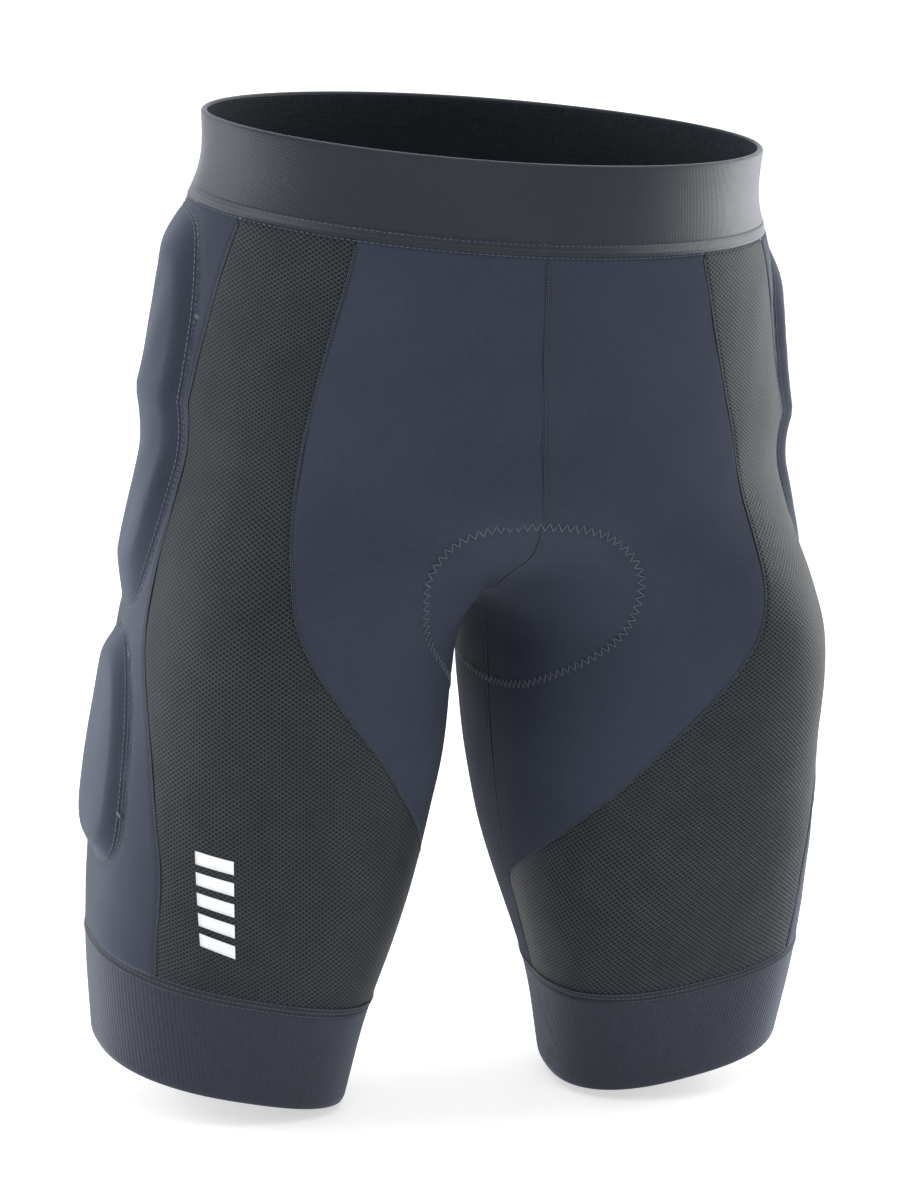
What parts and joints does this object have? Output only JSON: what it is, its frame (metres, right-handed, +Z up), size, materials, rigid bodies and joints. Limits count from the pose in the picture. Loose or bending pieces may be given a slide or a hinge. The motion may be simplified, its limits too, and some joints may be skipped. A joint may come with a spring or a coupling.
{
  "type": "padded impact shorts",
  "caption": "Close-fitting knit shorts with hip and thigh impact pads in side pockets, a seat pad, a wide elastic waistband and ribbed leg cuffs.",
  "frame": {"origin": "middle of the waist opening", "axes": "+Z up the trunk, -Y to the wearer's front, +X to the wearer's left"},
  "size_m": [0.4082, 0.2479, 0.5369],
  "materials": {
    "elastic": "matte",
    "foam": "matte",
    "lining": "matte",
    "mesh_knit": "matte",
    "rib_knit": "matte",
    "seat_cover": "matte",
    "silicone": "satin",
    "smooth_knit": "matte",
    "thread": "matte",
    "transfer": "matte",
    "waistband": "satin"
  },
  "bodies": {
    "root": {"back_centre_seam": "thread", "back_panel_L": "smooth_knit", "back_panel_R": "smooth_knit", "back_side_seam_L": "thread", "back_side_seam_R": "thread", "cuff_gripper_L": "silicone", "cuff_gripper_R": "silicone", "cuff_seam_L": "thread", "cuff_seam_R": "thread", "front_centre_seam": "thread", "front_mesh_seam_L": "thread", "front_mesh_seam_R": "thread", "front_panel_L": "smooth_knit", "front_panel_R": "smooth_knit", "hip_lining_L": "lining", "hip_lining_R": "lining", "hip_pad_L": "foam", "hip_pad_R": "foam", "hip_stitch_L": "thread", "hip_stitch_R": "thread", "inseam_L": "thread", "inseam_R": "thread", "leg_cuff_L": "rib_knit", "leg_cuff_R": "rib_knit", "mesh_panel_L": "mesh_knit", "mesh_panel_R": "mesh_knit", "seat_pad_backing": "lining", "seat_pad_cover": "seat_cover", "seat_pad_foam": "foam", "seat_pad_stitch": "thread", "side_mesh_seam_L": "thread", "side_mesh_seam_R": "thread", "side_panel_L": "smooth_knit", "side_panel_R": "smooth_knit", "thigh_lining_L": "lining", "thigh_lining_R": "lining", "thigh_mark": "transfer", "thigh_pad_L": "foam", "thigh_pad_R": "foam", "thigh_stitch_L": "thread", "thigh_stitch_R": "thread", "waistband_casing": "waistband", "waistband_elastic": "elastic", "waistband_seam": "thread"}
  },
  "joints": []
}
